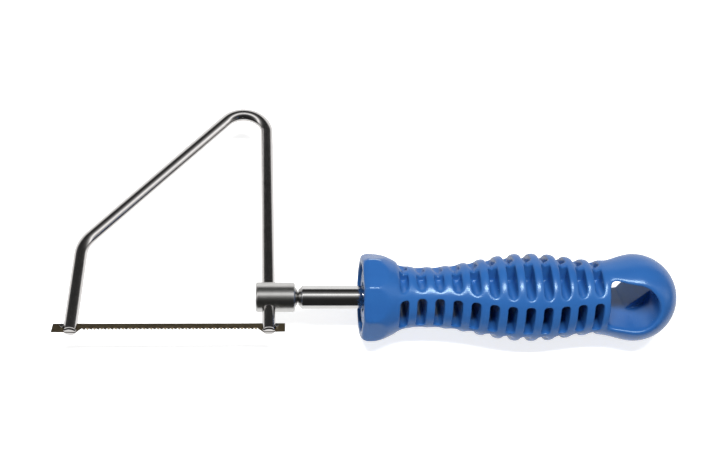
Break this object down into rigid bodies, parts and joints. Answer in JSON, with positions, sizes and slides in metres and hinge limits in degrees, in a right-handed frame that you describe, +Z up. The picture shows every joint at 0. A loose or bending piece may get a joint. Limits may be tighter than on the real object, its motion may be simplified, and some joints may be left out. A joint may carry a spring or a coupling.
{
  "type": "fret saw",
  "caption": "Small hand fret saw: bent wire bow holding a pinned blade, a steel clamp head on the rear leg, and a blue ribbed plastic handle that works the clamp screw.",
  "frame": {"origin": "middle of the saw's outline in X and Y, at the height of the lowest point of the handle, with the saw lying on its side", "axes": "+X along the handle's axis from the blade's front end to the hanging eye, +Y from the teeth to the top of the bow, +Z up, square to the plane of the bow"},
  "size_m": [0.261, 0.1228, 0.0372],
  "materials": {
    "plated_wire": "bright nickel plate",
    "blade_steel": "satin, tempered brown",
    "pin_steel": "satin",
    "turned_steel": "turned and plated, fine grain",
    "pad_brass": "bare",
    "polished_steel": "polished",
    "blue_plastic": "semi-gloss moulded"
  },
  "bodies": {
    "bow_frame": {"bow": "plated_wire", "blade": "blade_steel", "front_blade_pin": "pin_steel", "rear_blade_pin": "pin_steel"},
    "head": {"clamp_head": "turned_steel"},
    "pad": {"pressure_pad": "pad_brass"},
    "grip": {"spindle": "polished_steel", "handle": "blue_plastic"}
  },
  "joints": [
    {"name": "head_slide", "type": "slide", "parent": "bow_frame", "child": "head", "axis": [0, 1, 0], "range_m": [-0.005, 0.08]},
    {"name": "pad_advance", "type": "slide", "parent": "head", "child": "pad", "axis": [1, 0, 0], "range_m": [0, 0.0016]},
    {"name": "handle_turn", "type": "hinge", "parent": "pad", "child": "grip", "pos_m": [-0.0431, -0.0428, 0.0186], "axis": [1, 0, 0], "range_deg": [0, 720]}
  ],
  "couplings": [
    {"joint": "handle_turn", "follows": "pad_advance", "rad_per_m": 7854}
  ]
}
